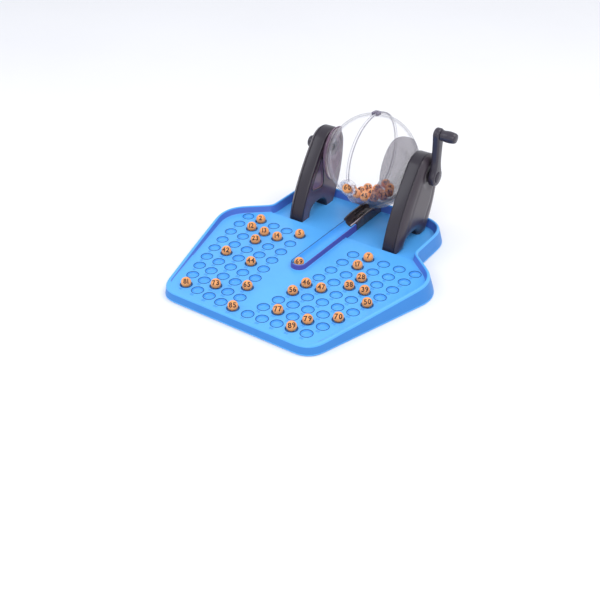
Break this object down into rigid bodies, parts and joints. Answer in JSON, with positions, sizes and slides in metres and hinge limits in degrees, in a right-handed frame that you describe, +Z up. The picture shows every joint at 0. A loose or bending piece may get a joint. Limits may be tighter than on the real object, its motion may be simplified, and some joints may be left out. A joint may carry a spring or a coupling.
{
  "type": "bingo cage",
  "caption": "Bingo cage: clear ball globe on smoked uprights, turned by a crank, over a chute and a blue tray with numbered wells for drawn balls.",
  "frame": {"origin": "middle of the tray, on the surface the tray stands on", "axes": "+Z up, +X along the globe axle towards the crank, +Y from the player towards the globe"},
  "size_m": [0.3086, 0.3515, 0.1503],
  "materials": {
    "tray_blue": "injection moulded, satin gloss",
    "smoke_plastic": "smoked translucent, glossy",
    "clear_plastic": "clear, polished",
    "crank_dark": "dark, satin gloss",
    "ball_orange": "moulded, soft sheen"
  },
  "bodies": {
    "base": {"tray": "tray_blue", "support_right": "smoke_plastic", "support_left": "smoke_plastic", "support_cover_right": "smoke_plastic", "support_cover_left": "smoke_plastic", "chute": "smoke_plastic", "ball_02": "ball_orange", "ball_05": "ball_orange", "ball_07": "ball_orange", "ball_12": "ball_orange", "ball_13": "ball_orange", "ball_14": "ball_orange", "ball_17": "ball_orange", "ball_23": "ball_orange", "ball_28": "ball_orange", "ball_38": "ball_orange", "ball_39": "ball_orange", "ball_42": "ball_orange", "ball_44": "ball_orange", "ball_46": "ball_orange", "ball_47": "ball_orange", "ball_50": "ball_orange", "ball_56": "ball_orange", "ball_65": "ball_orange", "ball_70": "ball_orange", "ball_73": "ball_orange", "ball_77": "ball_orange", "ball_79": "ball_orange", "ball_81": "ball_orange", "ball_85": "ball_orange", "ball_89": "ball_orange", "ball_41": "ball_orange", "ball_40": "ball_orange", "ball_53": "ball_orange", "ball_33": "ball_orange", "ball_16": "ball_orange", "ball_36": "ball_orange", "ball_35": "ball_orange", "ball_27": "ball_orange", "ball_11": "ball_orange", "ball_45": "ball_orange", "ball_52": "ball_orange", "ball_72": "ball_orange", "ball_61": "ball_orange", "ball_08": "ball_orange", "ball_90": "ball_orange"},
    "globe": {"globe_left": "clear_plastic", "globe_right": "clear_plastic", "outlet_ring": "clear_plastic", "globe_clasp_front": "clear_plastic", "globe_clasp_top": "clear_plastic", "axle_cap": "crank_dark", "crank_arm": "crank_dark", "ball_60": "ball_orange"},
    "grip": {"crank_grip": "crank_dark"},
    "channel_ball": {"ball_69": "ball_orange"}
  },
  "joints": [
    {"name": "globe_spin", "type": "hinge", "parent": "base", "child": "globe", "pos_m": [0, 0.134, 0.087], "axis": [1, 0, 0], "continuous": true},
    {"name": "grip_spin", "type": "hinge", "parent": "globe", "child": "grip", "pos_m": [0.1, 0.134, 0.142], "axis": [1, 0, 0], "continuous": true},
    {"name": "channel_ball_roll", "type": "slide", "parent": "base", "child": "channel_ball", "axis": [0, 0.9999, 0.011], "range_m": [0, 0.1]}
  ]
}
